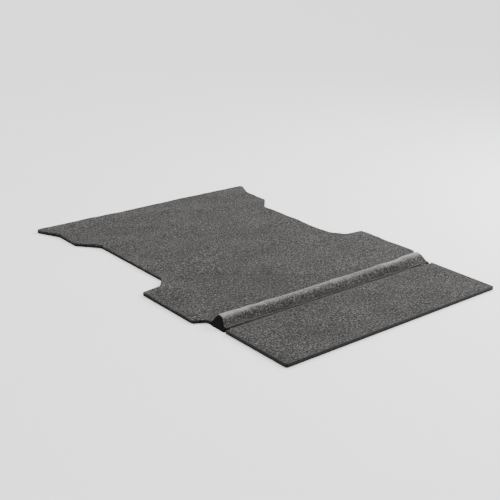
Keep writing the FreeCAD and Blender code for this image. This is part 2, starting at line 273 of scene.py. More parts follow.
def foam_finish():
    """Closed-cell foam with small open cells on its cut faces."""
    shader = Shader("black_foam", 0.85, Specular_IOR_Level=0.12)
    mottle = shader.noise(40, 3)
    shader.shade(mottle, (0.3, 0.006), (0.7, 0.012))
    shader.bump((mottle, 0.0008, 0.3), (shader.cells(620), 0.0006, 0.7))
    return shader


def woven_finish(name, dark, light, pitch, roughness=0.7):
    """Woven tape: diagonal twill ribs crossed by the weft."""
    shader = Shader(name, roughness, Sheen_Weight=0.04, Sheen_Roughness=0.5, Specular_IOR_Level=0.12)
    twill = shader.ribs(1 / pitch / 3.14, "DIAGONAL", 0.6, 40.0)
    weave = shader.maths("MULTIPLY", twill, shader.ribs(1 / pitch / 2.2, "X"))
    wear = shader.noise(30, 3)
    colour = shader.mixed(weave, grey(dark), grey(light))
    shader.wire("Base Color", shader.mixed(shader.maths("MULTIPLY", wear, 0.3), colour, grey(light)))
    shader.bump((wear, 0.0006, 0.3), (weave, 0.0004, 0.7))
    return shader


def vinyl_finish():
    """Black vinyl with a leather-like grain."""
    shader = Shader("black_vinyl", 0.45, Specular_IOR_Level=0.05)
    creases = shader.noise(90, 4, 0.6)
    shader.shade(creases, (0.3, 0.002), (0.7, 0.005))
    shader.wire("Roughness", shader.maths("MULTIPLY_ADD", creases, 0.3, 0.5))
    shader.bump((creases, 0.0006, 0.3), (shader.cells(700, "SMOOTH_F1"), 0.0004, 0.6))
    return shader


def thread_finish(name, tone):
    """Twisted polyester thread."""
    shader = Shader(name, 0.5, Sheen_Weight=0.2)
    twist = shader.noise(1500, 2, place=shader.stretched((1, 1, 3)))
    shader.shade(twist, (0.3, 0.5 * tone), (0.7, 1.5 * tone))
    shader.bump((twist, 0.0003, 0.6))
    return shader


def plastic_finish():
    """Moulded black zipper plastic, polished where it rubs."""
    shader = Shader("zip_plastic", 0.35)
    scuffs = shader.noise(260, 4, 0.6)
    shader.shade(scuffs, (0.35, 0.016), (0.75, 0.034))
    shader.wire("Roughness", shader.maths("MULTIPLY_ADD", scuffs, 0.35, 0.5))
    shader.bump((scuffs, 0.0002, 0.3))
    return shader


def enamel_finish():
    """Black enamel on die-cast zinc, worn to metal on a few high spots."""
    shader = Shader("black_enamel", 0.3, Coat_Weight=0.4)
    chips = shader.noise(420, 5, 0.7)
    bare = shader.ramp(chips, (0.66, 0), (0.72, 1))
    shader.wire("Base Color", shader.mixed(bare, grey(0.014), grey(0.34)))
    shader.wire("Metallic", bare)
    shader.bump((chips, 0.0002, 0.4))
    return shader


def fastener_finish(name, tone, scale, depth):
    """Hook tape, loop cloth or adhesive: a dense field of small points."""
    shader = Shader(name, 0.7, Sheen_Weight=0.2)
    points = shader.cells(scale)
    shader.shade(points, (0.1, tone * 1.6), (0.6, tone * 0.6))
    shader.bump((points, depth, 0.8), (shader.noise(scale * 2, 3, 0.7), depth * 0.5, 0.5))
    return shader


def studio_finish():
    """Pale seamless floor."""
    shader = Shader("studio_floor", 0.75, Specular_IOR_Level=0.2)
    shader.shade(shader.noise(1.5, 2), (0, 0.80), (1, 0.83))
    return shader


# Every finish is a shader and the record's slot for it.
# Painted light on the guard's carpet, as (z, how light): a painted highlight along the crest and painted
# shade at the hem by the crease
GUARD_PAINTED_LIGHT = [
    (18 * MM, 0.42), (58.5 * MM, 4.5), (21 * MM, 0.70), (26 * MM, 0.98), (36 * MM, 1.14), (46 * MM, 1.6),
    (54 * MM, 2.8),
]
CARPET = carpet_finish("charcoal_carpet", 0.06), "charcoal_carpet"
GUARD_CARPET = carpet_finish("charcoal_carpet_guard", 0.22, GUARD_PAINTED_LIGHT), "charcoal_carpet"
FOAM = foam_finish(), "black_foam"
TAPE = woven_finish("woven_tape", 0.006, 0.018, 1.3 * MM), "woven_tape"
BINDING = woven_finish("binding_tape", 0.003, 0.011, 1.6 * MM, 0.65), "binding_tape"
BACKING = woven_finish("backing_cloth", 0.008, 0.020, 2.2 * MM, 0.85), "backing_cloth"
VINYL = vinyl_finish(), "end_cap_vinyl"
BLACK_THREAD = thread_finish("black_thread", 0.02), "binding_tape"
GREY_THREAD = thread_finish("grey_thread", 0.05), "charcoal_carpet"
PLASTIC = plastic_finish(), "zip_plastic"
ENAMEL = enamel_finish(), "slider_metal"
HOOKS = fastener_finish("hook_tape", 0.02, 650, 0.0008), "hook_tape"
LOOPS = fastener_finish("loop_fabric", 0.03, 420, 0.0008), "loop_fabric"
ADHESIVE = fastener_finish("adhesive_pad", 0.06, 180, 0.0003), "adhesive"


# Lines and outlines


def cad_mesh(node):
    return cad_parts[node].data


def cad_points(node):
    return np.array([v.co for v in cad_mesh(node).vertices])


def span(node, axis):
    """Where a CAD node starts and ends along an axis."""
    low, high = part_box(node)
    return low[axis], high[axis]


def end_face_loops(node, axis, side, lean=0.0):
    """The boundary loops of a CAD node's flat end face, in the other two axes.

    side is -1 for the low end or 1 for the high end. lean is how far the face draws in for
    each metre of height. Loops run anticlockwise, the largest first.
    """
    points = cad_points(node)
    points[:, axis] += side * lean * points[:, 2]
    level = points[:, axis].min() if side < 0 else points[:, axis].max()
    flat = np.abs(points[:, axis] - level) < SAME_PLACE
    keys = [tuple(np.round(p, 6)) for p in points]
    edges = {}
    for polygon in cad_mesh(node).polygons:
        if flat[list(polygon.vertices)].all():
            corners = [keys[i] for i in polygon.vertices]
            for start, end in zip(corners, corners[1:] + corners[:1]):
                if edges.pop((end, start), None) is None:
                    edges[(start, end)] = True
    following = dict(edges.keys())
    others = [i for i in range(3) if i != axis]
    loops = []
    while following:
        start, point = following.popitem()
        loop = [start]
        while point != start:
            loop.append(point)
            point = following.pop(point)
        loop = np.array(loop)[:, others]
        loops.append(loop if area_of(loop) >= 0 else loop[::-1])
    return sorted(loops, key=area_of, reverse=True)


def area_of(loop):
    x, y = loop[:, 0], loop[:, 1]
    return float(np.sum(x * np.roll(y, -1) - y * np.roll(x, -1)) / 2)


def unit(vectors):
    return vectors / np.linalg.norm(vectors, axis=1)[:, None]


def leftward(along):
    """Unit vectors a quarter turn to the left of those directions."""
    along = unit(along)
    return np.stack([-along[:, 1], along[:, 0]], axis=1)


def inward_normals(loop):
    return leftward(np.roll(loop, -1, axis=0) - np.roll(loop, 1, axis=0))


def lengths_along(line):
    """How far along the line each of its points is."""
    return np.concatenate([[0], np.cumsum(np.linalg.norm(np.diff(line, axis=0), axis=1))])


def at_lengths(line, at):
    """Points on the line, that far along it."""
    along = lengths_along(line)
    return np.stack([np.interp(at, along, line[:, k]) for k in range(line.shape[1])], axis=1)


def evened(line, step, closed=True):
    """The line again, with points about step apart."""
    if closed:
        line = np.vstack([line, line[:1]])
    length = lengths_along(line)[-1]
    at = np.linspace(0, length, max(3, round(length / step)) + 1)
    return at_lengths(line, at[:-1] if closed else at)


def softened(loop, passes):
    """A closed loop with its corners eased."""
    for _ in range(passes):
        loop = 0.5 * loop + 0.25 * (np.roll(loop, 1, axis=0) + np.roll(loop, -1, axis=0))
    return loop


def rounded(corners, steps=4):
    """A closed outline from (a, b, radius) corners, each turned in that many steps."""
    points = []
    count = len(corners)
    for i, (a, b, radius) in enumerate(corners):
        corner = np.array((a, b))
        before = np.array(corners[i - 1][:2]) - corner
        after = np.array(corners[(i + 1) % count][:2]) - corner
        before /= np.linalg.norm(before)
        after /= np.linalg.norm(after)
        if radius == 0:
            points.append(corner)
            continue
        half = math.acos(np.clip(before @ after, -1, 1)) / 2
        middle = (before + after) / np.linalg.norm(before + after)
        centre = corner + middle * radius / math.sin(half)
        start = corner + before * radius / math.tan(half) - centre
        end = corner + after * radius / math.tan(half) - centre
        turn = math.pi - 2 * half
        for t in np.linspace(0, turn, steps + 1):
            points.append(centre + (start * math.sin(turn - t) + end * math.sin(t)) / math.sin(turn))
    return np.array(points)


def rectangle(x0, x1, y0, y1, radius=0.0, steps=4):
    return rounded([(x0, y0, radius), (x1, y0, radius), (x1, y1, radius), (x0, y1, radius)], steps)


def inside(points, loop):
    """Which points are inside the closed loop."""
    x0, y0 = loop[:, 0], loop[:, 1]
    x1, y1 = np.roll(x0, -1), np.roll(y0, -1)
    result = np.zeros(len(points), bool)
    for ax, ay, bx, by in zip(x0, y0, x1, y1):
        if ay != by:
            crosses = (ay > points[:, 1]) != (by > points[:, 1])
            result ^= crosses & (points[:, 0] < (bx - ax) * (points[:, 1] - ay) / (by - ay) + ax)
    return result


def staggered(low, high, step):
    """Points in staggered rows over a box."""
    points = []
    for k, y in enumerate(np.arange(low[1], high[1], step * math.sqrt(0.75))):
        points += [(x, y) for x in np.arange(low[0] + (k % 2) * step / 2, high[0], step)]
    return np.array(points)


def filled(loops, step=None):
    """Points and triangles of the region inside the first loop and outside the others.

    The last result says which of the loops' points each point stands for.
    """
    points = list(np.vstack(loops))
    edges = []
    first = 0
    for loop in loops:
        count = len(loop)
        edges += [(first + i, first + (i + 1) % count) for i in range(count)]
        first += count
    if step:
        margin = inward_normals(loops[0]) * step * 0.7
        grid = staggered(loops[0].min(0), loops[0].max(0), step)
        points += list(grid[inside(grid, loops[0] + margin)])
    made = geometry.delaunay_2d_cdt([Vector(p) for p in points], edges, [], INSIDE_ONLY, MERGE_DISTANCE)
    flat = np.array([tuple(v) for v in made[0]])
    triangles = np.array([tuple(f) for f in made[2]])
    middles = flat[triangles].mean(axis=1)
    kept = np.ones(len(triangles), bool)
    for hole in loops[1:]:
        kept &= ~inside(middles, hole)
    return flat, triangles[kept], made[3]


def waves(seed, shortest, longest, count=28, crosswise=1.0):
    """A smooth random surface of about unit height, as a function of x and y."""
    rng = np.random.default_rng(seed)
    turn = rng.uniform(0, 2 * math.pi, count)
    pace = 2 * math.pi / np.exp(rng.uniform(math.log(shortest), math.log(longest), count))
    phase = rng.uniform(0, 2 * math.pi, count)
    kx, ky = pace * np.cos(turn) / crosswise, pace * np.sin(turn)

    def height(x, y):
        total = 0
        for a, b, c in zip(kx, ky, phase):
            total = total + np.sin(a * x + b * y + c)
        return total / math.sqrt(count / 2)

    return height


# Pieces. nodes is one text with the names of the CAD nodes that a piece stands for.


def show(name, mesh, finish, body, nodes):
    """Puts a finished mesh in the scene. A piece that bends between two bodies has body None."""
    shader, slot = finish
    mesh.materials.append(shader.material)
    mesh.shade_smooth()
    piece = bpy.data.objects.new(name, mesh)
    bpy.context.scene.collection.objects.link(piece)
    if body:
        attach(piece, body)
    if nodes:
        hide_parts(*nodes.split())
    return piece


def make_piece(name, points, faces, finish, body, nodes=""):
    """A smooth closed piece. Its faces are turned outward, whichever way round they come."""
    mesh = bpy.data.meshes.new(name)
    mesh.from_pydata([tuple(p) for p in points], [], [tuple(f) for f in faces])
    turned = bmesh.new()
    turned.from_mesh(mesh)
    bmesh.ops.recalc_face_normals(turned, faces=turned.faces)
    turned.to_mesh(mesh)
    turned.free()
    return show(name, mesh, finish, body, nodes)


def ring_faces(rings, around, first=0):
    """Quads between closed rings of points that follow each other."""
    faces = []
    for start in range(first, first + (rings - 1) * around, around):
        for i in range(around):
            a, b = start + i, start + (i + 1) % around
            faces.append((a, b, b + around, a + around))
    return faces


def tube_faces(rings, around, first=0):
    """The same, with a face on each end."""
    ends = [tuple(range(start, start + around)) for start in (first, first + (rings - 1) * around)]
    return ring_faces(rings, around, first) + ends


def rounding(radius, top, steps=5):
    """Edges (inset, z) over a mat's top rim. radius is a number or one for each outline point."""
    turns = np.linspace(0, math.pi / 2, steps + 1)
    return [(radius * (1 - math.cos(turn)), top - radius * (1 - math.sin(turn))) for turn in turns]


def around_circle(sides):
    return [(math.cos(turn), math.sin(turn)) for turn in np.arange(sides) * (2 * math.pi / sides)]


def drawn_in(outline, edges):
    """Rings of an outline from (inset, z), numbers or one number for each outline point."""
    normals = inward_normals(outline)
    return [(outline + normals * np.broadcast_to(inset, len(outline))[:, None], z) for inset, z in edges]


def slab(name, rings, finish, body, nodes="", top_step=None, holes=(), hole_depth=0.0, height=None):
    """A closed mat. rings run from the underside's edge, round the side, to the top's edge.

    Each ring is (loop of points, z). holes are pockets in the underside. height adds to the
    top's z.
    """
    count = len(rings[0][0])
    points = list(np.vstack([np.column_stack([flat, np.broadcast_to(z, count)]) for flat, z in rings]))
    low_z, high_z = float(np.min(rings[0][1])), float(np.max(rings[-1][1]))
    faces = ring_faces(len(rings), count)

    def close(loops, z, step, own):
        """Fills the loops. own maps the triangulation's loop points to existing ones."""
        flat, triangles, sources = filled(loops, step)
        index = []
        for point, source in zip(flat, sources):
            known = [own[s] for s in source if s < len(own)]
            if not known:
                known = [len(points)]
                points.append((*point, z))
            index.append(known[0])
        faces.extend(tuple(index[i] for i in triangle) for triangle in triangles)

    bottom = list(range(count))
    for hole in holes:
        start, corners = len(points), len(hole)
        points += [(*point, z) for z in (low_z, low_z + hole_depth) for point in hole]
        bottom += range(start, start + corners)
        faces += ring_faces(2, corners, start)
        faces.append(tuple(range(start + 2 * corners - 1, start + corners - 1, -1)))
    close([rings[0][0], *holes], low_z, None, bottom)
    last = count * (len(rings) - 1)
    close([rings[-1][0]], high_z, top_step, list(range(last, last + count)))
    points = np.array(points)
    if height:
        rise = np.clip((points[:, 2] - low_z) / (high_z - low_z), 0, 1)
        points[:, 2] += rise * height(points[:, 0], points[:, 1])
    return make_piece(name, points, faces, finish, body, nodes)


def swept(name, path, normals, section, finish, body, nodes, change=None):
    """A closed bar: its section is a loop of (inset, z), carried along the path.

    change(along, inset, z) may alter the section at each place along the path.
    """
    stations, corners = len(path), len(section)
    inset = np.repeat(section[None, :, 0], stations, axis=0)
    z = np.repeat(section[None, :, 1], stations, axis=0)
    if change:
        inset, z = change(np.repeat(lengths_along(path)[:, None], corners, axis=1), inset, z)
    flat = path[:, None, :] + normals[:, None, :] * inset[:, :, None]
    points = np.concatenate([flat, z[:, :, None]], axis=2).reshape(-1, 3)
    faces = ring_faces(stations, corners)
    triangles, sources = filled([section])[1:]
    for first in (0, (stations - 1) * corners):
        faces += [tuple(first + sources[i][0] for i in triangle) for triangle in triangles]
    return make_piece(name, points, faces, finish, body, nodes)


def bar(name, section, half, step, finish, body, nodes, change=None):
    """A bar from -half to half along X whose section is a loop of (y, z)."""
    x = np.linspace(-half, half, max(2, round(2 * half / step) + 1))
    path = np.stack([x, np.zeros(len(x))], axis=1)
    return swept(name, path, np.tile((0.0, 1.0), (len(x), 1)), section, finish, body, nodes, change)


def stitch_row(name, path, up, finish, body):
    """Stitches along a path of 3-D points: short bent threads whose ends dive into the cloth."""
    path = evened(path, STITCH_PITCH, closed=False)
    centres = (path[1:] + path[:-1]) / 2
    along = unit(np.diff(path, axis=0))
    up = np.array(up, float)
    across = np.cross(up, along)
    points = []
    for place, width in THREAD_SHAPE:
        middle = centres + along * (place * STITCH_LENGTH / 2) - up * (THREAD_DIVE * place ** 2)
        for a, b in around_circle(THREAD_SIDES):
            points.append(middle + width * THREAD_RADIUS * (across * a + up * b))
    faces = []
    for n in range(len(centres)):
        faces += tube_faces(len(THREAD_SHAPE), THREAD_SIDES, n * len(points))
    return make_piece(name, np.stack(points, axis=1).reshape(-1, 3), faces, finish, body)


def softened_copy(node, width, finish, body, segments):
    """A CAD piece of the zipper with its edges eased."""
    name = "zipper_" + node.removeprefix("zip_")
    bm = bmesh.new()
    bm.from_mesh(cad_mesh(node))
    bmesh.ops.remove_doubles(bm, verts=bm.verts, dist=CAD_JOIN)
    bmesh.ops.dissolve_limit(bm, angle_limit=FLAT_ANGLE, verts=bm.verts, edges=bm.edges)
    sharp = [e for e in bm.edges if e.is_manifold and e.calc_face_angle() > SHARP_ANGLE]
    bmesh.ops.bevel(
        bm, geom=sharp, offset=width, segments=segments, profile=0.5, affect="EDGES", clamp_overlap=True
    )
    bmesh.ops.remove_doubles(bm, verts=bm.verts, dist=LEFTOVER)
    bmesh.ops.dissolve_degenerate(bm, edges=bm.edges, dist=LEFTOVER)
    mesh = bpy.data.meshes.new(name)
    bm.to_mesh(mesh)
    bm.free()
    show(name, mesh, finish, body, node).data.set_sharp_from_angle(angle=math.radians(40))


# Places read from the frame

CARPET_LOW, CARPET_TOP = span("floor_carpet", 2)
FLOOR_REAR = span("floor_carpet", 1)[0]
POCKET_HEIGHT = span("floor_loop_patches", 2)[1]
TAPE_REACH = span("front_hinge_tape_floor_side", 1)[1]
TAPE_SPAN = span("front_hinge_tape_floor_side", 0)[1]
TAPE_TOP = span("front_hinge_tape_floor_side", 2)[1]
MAT_HALF, MAT_REAR = span("tailgate_edge_binding", 0)[1], span("tailgate_edge_binding", 1)[0]
MAT_FRONT = span("tailgate_carpet", 1)[1]
BINDING_WALL = MAT_HALF - span("tailgate_carpet", 0)[1]
ZIP_TAPE_TOP = span("tailgate_zip_tape", 2)[1]
ZIP_TAPE_REACH = span("tailgate_zip_tape", 1)[0]
ZIP_SPAN = span("tailgate_zip_tape", 0)[1]
GUARD_FOOT_HALF = span("guard_backing", 0)[1]


def end_lean():
    """How far the guard's ends draw in for each metre of height, from the base foam's corners."""
    points = cad_points("guard_base_foam")
    low, high = span("guard_base_foam", 2)
    upper = points[points[:, 2] > (low + high) / 2]
    return (points[:, 0].max() - upper[:, 0].max()) / (high - low)


END_LEAN = end_lean()
COVER_FOOT_HALF = span("guard_base_foam", 0)[1] + END_LEAN * span("guard_base_foam", 2)[0]


# Mats


def lay_carpet(mat, rings, recess, depth, height):
    """A mat's carpet, laid over its foam, with a recess in its underside for the tape."""
    carpet = slab(
        mat + "_carpet_pile", rings, CARPET, mat + "_mat", mat + "_carpet", PILE_STEP, [recess], depth, height
    )


def lay_foam(mat, rings):
    """A mat's foam, with a pocket for every fastening strip."""
    node = mat + "_foam"
    pockets = end_face_loops(node, 2, -1)[1:]
    foam = slab(node + "_pad", rings, FOAM, mat + "_mat", node, None, pockets, POCKET_HEIGHT)


# Floor mat


def floor_outline():
    loop = evened(end_face_loops("floor_foam", 2, 1)[0], EDGE_STEP)
    return softened(loop, CORNER_SOFTENING)


def make_floor_carpet():
    """The carpet of the bed floor, laid flat with the slow waves that a heavy mat keeps."""
    outline = floor_outline()
    wobble = waves(11, 60 * MM, 260 * MM)
    outline = outline + inward_normals(outline) * (0.5 * MM * wobble(*outline.T))[:, None]
    at_rear = (outline[:, 1] < FLOOR_REAR + 2 * MM).astype(float)
    for _ in range(3):
        at_rear = (at_rear + np.roll(at_rear, 1) + np.roll(at_rear, -1)) / 3
    radius = PILE_EDGE + (ROLLED_EDGE - PILE_EDGE) * at_rear
    over_tape = (at_rear > 0.9) & (np.abs(outline[:, 0]) < TAPE_SPAN)
    low = np.where(over_tape, TAPE_TOP, CARPET_LOW)
    recess = rectangle(-TAPE_SPAN, TAPE_SPAN, FLOOR_REAR + 1.5 * MM, TAPE_REACH)
    swell = waves(12, 170 * MM, 520 * MM, crosswise=1.8)
    creases = waves(13, 60 * MM, 150 * MM, crosswise=1.3)
    nap = waves(14, 17 * MM, 40 * MM, 60)

    def height(x, y):
        return 1.5 * MM * swell(x, y) + 0.45 * MM * creases(x, y) + NAP_HEIGHT * nap(x, y)

    rings = drawn_in(outline, [(0.0, low), *rounding(radius, CARPET_TOP)])
    lay_carpet("floor", rings, recess, TAPE_TOP - CARPET_LOW, height)


make_floor_carpet()
lay_foam("floor", drawn_in(floor_outline(), [(0.6 * MM, 0.0), (0.0, 0.6 * MM), (0.0, CARPET_LOW)]))


# Gap guard


def lean_ends(piece):
    """Draws a straight piece of the guard in towards its crest, so that its ends lean."""
    for vertex in piece.data.vertices:
        vertex.co.x *= 1 - END_LEAN * vertex.co.z / GUARD_FOOT_HALF


def guard_profiles():
    """The guard carpet's outer and inner lines, from its front foot over the crest to its toe."""
    loop = end_face_loops("guard_cover", 0, 1, END_LEAN)[0]
    y, z = loop.T
    loop = np.roll(loop, -int(np.argmax(y - z)), axis=0)
    toe = int(np.argmin(loop.sum(axis=1)))
    return loop[: toe + 1], loop[toe + 1:][::-1]


def with_lip(outer):
    """The guard's outer line with the toe's pile leaning out over the zipper."""
    y, z = outer.T
    near_toe = np.clip((y[-1] + 6 * MM - y) / (5 * MM), 0, 1)
    high = np.clip((z - z[-1] - 1.6 * MM) / (1.8 * MM), 0, 1)
    lean = TOE_LIP * near_toe * high * high * (3 - 2 * high)
    return np.stack([y - lean, z], axis=1)


def smoothed(values, passes, axis):
    """Averages neighbours along an axis and keeps the two ends."""
    values = np.moveaxis(values.copy(), axis, 0)
    for _ in range(passes):
        values[1:-1] = 0.5 * values[1:-1] + 0.25 * (values[:-2] + values[2:])
    return np.moveaxis(values, 0, axis)


def simulated_swell(outer, x):
    """How far cloth pressure moves the guard's carpet, for each row and column of its grid.

    The closed tube of carpet and backing is held along its foot, toe and ends. A seeded
    slack in the cloth makes the padding look hand filled.
    """
    rows, columns = len(outer), len(x)
    base = np.array([outer[-1], outer[0]])
    base = at_lengths(base, np.linspace(0, 1, 10)[1:-1] * lengths_along(base)[-1])
    ring = np.vstack([outer, base])
    around = len(ring)
    points = [(px, py, pz) for py, pz in ring for px in x]
    faces = []
    for r in range(around):
        for c in range(columns - 1):
            a, b = r * columns + c, (r + 1) % around * columns + c
            faces.append((a, a + 1, b + 1, b))
    faces.append(tuple(r * columns for r in range(around)))
    faces.append(tuple(r * columns + columns - 1 for r in range(around - 1, -1, -1)))
    mesh = bpy.data.meshes.new("guard_swell")
    mesh.from_pydata(points, [], faces)
    tube = bpy.data.objects.new("guard_swell", mesh)
    bpy.context.scene.collection.objects.link(tube)
    held = tube.vertex_groups.new(name="held")
    slack = tube.vertex_groups.new(name="slack")
    loose = waves(21, 90 * MM, 300 * MM)
    for index, (px, py, pz) in enumerate(points):
        r, c = divmod(index, columns)
        if r < 2 or r >= rows - 3 or c in (0, columns - 1):
            held.add([index], 1.0, "REPLACE")
        weight = 0.5 + 0.4 * float(loose(px, py + pz))
        slack.add([index], min(1.0, max(0.0, weight)), "REPLACE")
    cloth = tube.modifiers.new("cloth", "CLOTH")
    settings = cloth.settings
    settings.mass = 0.3
    settings.tension_stiffness = settings.compression_stiffness = 20
    settings.bending_stiffness = 6
    settings.use_pressure = True
    settings.uniform_pressure_force = 4
    settings.shrink_min = -0.05
    settings.shrink_max = 0.01
    settings.vertex_group_shrink = "slack"
    settings.vertex_group_mass = "held"
    settings.effector_weights.gravity = 0
    cloth.point_cache.frame_end = SWELL_FRAMES
    for step in range(1, SWELL_FRAMES + 1):
        bpy.context.scene.frame_set(step)
    shaped = tube.evaluated_get(bpy.context.evaluated_depsgraph_get())
    moved = np.array([v.co for v in shaped.data.vertices]) - np.array(points)
    bpy.context.scene.frame_set(1)
    bpy.data.objects.remove(tube)
    return moved.reshape(around, columns, 3)[:rows]


def guard_swell(outer, x):
    """The cover's swelling with its even part mostly taken out, no further than the cap."""
    coarse = np.linspace(x[0], x[-1], round((x[-1] - x[0]) / (9 * MM)))
    swell = simulated_swell(outer, coarse)
    swell = smoothed(smoothed(swell, 3, 1), 1, 0)
    swell -= 0.75 * swell.mean(axis=1, keepdims=True)
    reach = np.linalg.norm(swell, axis=2, keepdims=True)
    swell *= COVER_SWELL / np.maximum(reach, COVER_SWELL)
    fine = [[np.interp(x, coarse, swell[r, :, k]) for k in range(3)] for r in range(len(outer))]
    return np.moveaxis(np.array(fine), 1, 2)


def make_guard_cover():
    """The guard's carpet: a thick shell over the foam, its ends eased towards the end panels."""
    outer, inner = guard_profiles()
    length = lengths_along(outer)[-1]
    toe = TOE_REACH / length
    upper_rows = round((1 - toe) * length / (4.5 * MM))
    shares = np.concatenate([np.linspace(0, 1 - toe, upper_rows), np.linspace(1 - toe, 1, 10)[1:]])
    outer, inner = (at_lengths(line, shares * lengths_along(line)[-1]) for line in (outer, inner))
    outer = with_lip(outer)
    half = COVER_FOOT_HALF
    middle = np.linspace(8 * MM - half, half - 8 * MM, round(2 * half / GUARD_STEP))
    easing = np.array((0.0, 0.7, 2.0, 4.5)) * MM
    x = np.concatenate([easing - half, middle, half - easing[::-1]])
    swell = guard_swell(outer, x)
    outward = -leftward(np.gradient(outer, axis=0))[:, None, :]
    beyond = 1 - np.clip(np.minimum(x + half, half - x) / COVER_END_REACH, 0, 1)
    eased = COVER_END_EASING * (1 - np.sqrt(np.clip(1 - beyond ** 2, 0, 1)))
    nap = waves(23, 15 * MM, 40 * MM, 60)
    arc = lengths_along(outer)
    rise = NAP_HEIGHT * nap(x[None, :], arc[:, None]) - eased[None, :]
    rows, columns = len(outer), len(x)
    skin, lining = np.empty((2, rows, columns, 3))
    for layer, line in ((skin, outer), (lining, inner)):
        layer[:, :, 0] = x
        layer[:, :, 1:] = line[:, None, :]
        layer += swell
    skin[:, :, 1:] += outward * rise[:, :, None]
    around = 2 * rows
    points = np.concatenate([skin[::-1], lining]).transpose(1, 0, 2).reshape(-1, 3)
    faces = ring_faces(columns, around)
    for first in (0, (columns - 1) * around):
        for r in range(rows - 1):
            across = around - 1 - r
            faces.append((first + r, first + r + 1, first + across - 1, first + across))
    cover = make_piece("guard_carpet_cover", points, faces, GUARD_CARPET, "gap_guard", "guard_cover")
    lean_ends(cover)


def make_guard_foam():
    """The shaped wedge, and the flat base foam under it."""
    section = softened(evened(end_face_loops("guard_wedge_foam", 0, 1, END_LEAN)[0], FINE_STEP), 1)
    unevenness = waves(24, 40 * MM, 120 * MM)

    def uneven(along, inset, z):
        return inset, z + np.where(z > CARPET_TOP, 0.3 * MM * unevenness(along, inset), 0)

    ends = (COVER_FOOT_HALF, 20 * MM, FOAM, "gap_guard")
    wedge = bar("guard_foam_wedge", section, *ends, "guard_wedge_foam", uneven)
    flat_box = rectangle(*span("guard_base_foam", 1), *span("guard_base_foam", 2), 0.8 * MM)
    base = bar("guard_foam_base", evened(flat_box, 4 * MM), *ends, "guard_base_foam")
    for foam in (wedge, base):
        lean_ends(foam)


def make_guard_backing():
    half = GUARD_FOOT_HALF - BACKING_TRIM
    rear, front = span("guard_backing", 1)
    section = evened(rectangle(rear, front, *span("guard_backing", 2), 0.4 * MM), 3 * MM)
    backing = bar("guard_backing_cloth", section, half, 12 * MM, BACKING, "gap_guard", "guard_backing")
    lean_ends(backing)


def make_end_panel(name, node, side):
    """Black vinyl over a stiff board: domed a little, with eased edges."""
    loop = end_face_loops(node, 0, side, END_LEAN)[0]
    outline = softened(evened(loop, FINE_STEP), 2)
    depth = GUARD_FOOT_HALF - COVER_FOOT_HALF

    def dome(y, z):
        apart = np.hypot(y[:, None] - outline[None, :, 0], z[:, None] - outline[None, :, 1]).min(axis=1)
        return PANEL_CROWN * (1 - np.exp(-apart / (9 * MM)))

    edges = [(0.4 * MM, 0.0), (0.0, 0.4 * MM), *rounding(PANEL_EDGE, depth - PANEL_CROWN, 4)]
    panel = slab(name, drawn_in(outline, edges), VINYL, "gap_guard", node, 5 * MM, height=dome)
    inner_x = side * COVER_FOOT_HALF
    panel.data.transform(Matrix(((0, 0, side, inner_x), (1, 0, 0, 0), (0, 1, 0, 0), (0, 0, 0, 1))))
    if side < 0:
        panel.data.flip_normals()
    lean_ends(panel)


def make_end_piping(name, x, sides=8):
    """The welt in the seam between the carpet cover and an end panel. It stands a little proud."""
    line = evened(guard_profiles()[0], FINE_STEP, closed=False)[1:-1]
    line = line + leftward(np.gradient(line, axis=0)) * (PIPING_RADIUS - PIPING_STAND)
    path = np.column_stack([np.full(len(line), x), line])
    level = np.array((1.0, 0.0, 0.0))
    across = np.cross(unit(np.gradient(path, axis=0)), level)
    points = [path + PIPING_RADIUS * (a * level + b * across) for a, b in around_circle(sides)]
    points = np.stack(points, axis=1).reshape(-1, 3)
    lean_ends(make_piece(name, points, tube_faces(len(path), sides), VINYL, "gap_guard"))


def make_guard_stitching():
    """The row that closes the cover's hem."""
    outer = guard_profiles()[0]
    y = outer[-1][0] + 9 * MM
    hem = outer[len(outer) // 2:][::-1]
    z = float(np.interp(y, hem[:, 0], hem[:, 1]))
    reach = COVER_FOOT_HALF - 20 * MM
    path = np.array([(-reach, y, z), (reach, y, z)])
    stitch_row("guard_hem_stitching", path, (0, 0, 1), GREY_THREAD, "gap_guard")


make_guard_cover()
make_guard_foam()
make_guard_backing()
make_end_panel("guard_end_panel_left", "guard_end_cap_left", -1)
make_end_panel("guard_end_panel_right", "guard_end_cap_right", 1)
make_end_piping("guard_end_piping_left", -COVER_FOOT_HALF)
make_end_piping("guard_end_piping_right", COVER_FOOT_HALF)
make_guard_stitching()


# Tapes across the fold lines


def make_tape(name, rear, front, z, half, step, body, nodes):
    """A flat woven tape with points close enough together to bend."""
    section = evened(rectangle(rear, front, *z, 0.3 * MM, 2), 0.8 * MM)
    return bar(name, section, half, step, TAPE, body, nodes)


def make_hinge_tape():
    """One woven tape, sewn under both carpets, that lets the guard fold up on the floor mat."""
    rear = span("front_hinge_tape_guard_side", 1)[0]
    z = span("front_hinge_tape_floor_side", 2)
    nodes = "front_hinge_tape_floor_side front_hinge_tape_guard_side"
    tape = make_tape("front_hinge_tape", rear, TAPE_REACH, z, TAPE_SPAN, 20 * MM, None, nodes)
    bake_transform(tape)


def make_zip_tapes():
    """The zipper's two tapes. The rear one, which bends just behind the chain, is made flat and given no
    body.
    """
    z = span("guard_zip_tape", 2)
    rear, front = span("guard_zip_tape", 1)
    sizes = (z, ZIP_SPAN, 10 * MM)
    guard_side = make_tape("zipper_tape_guard", rear, front, *sizes, "gap_guard", "guard_zip_tape")
    fold_front, front = span("tailgate_zip_tape_chain_edge", 1)
    nodes = "tailgate_zip_tape tailgate_zip_tape_chain_edge"
    rear_side = make_tape("zipper_tape_tailgate", ZIP_TAPE_REACH, front, *sizes, None, nodes)
    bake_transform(rear_side)


make_hinge_tape()
make_zip_tapes()


# Zipper


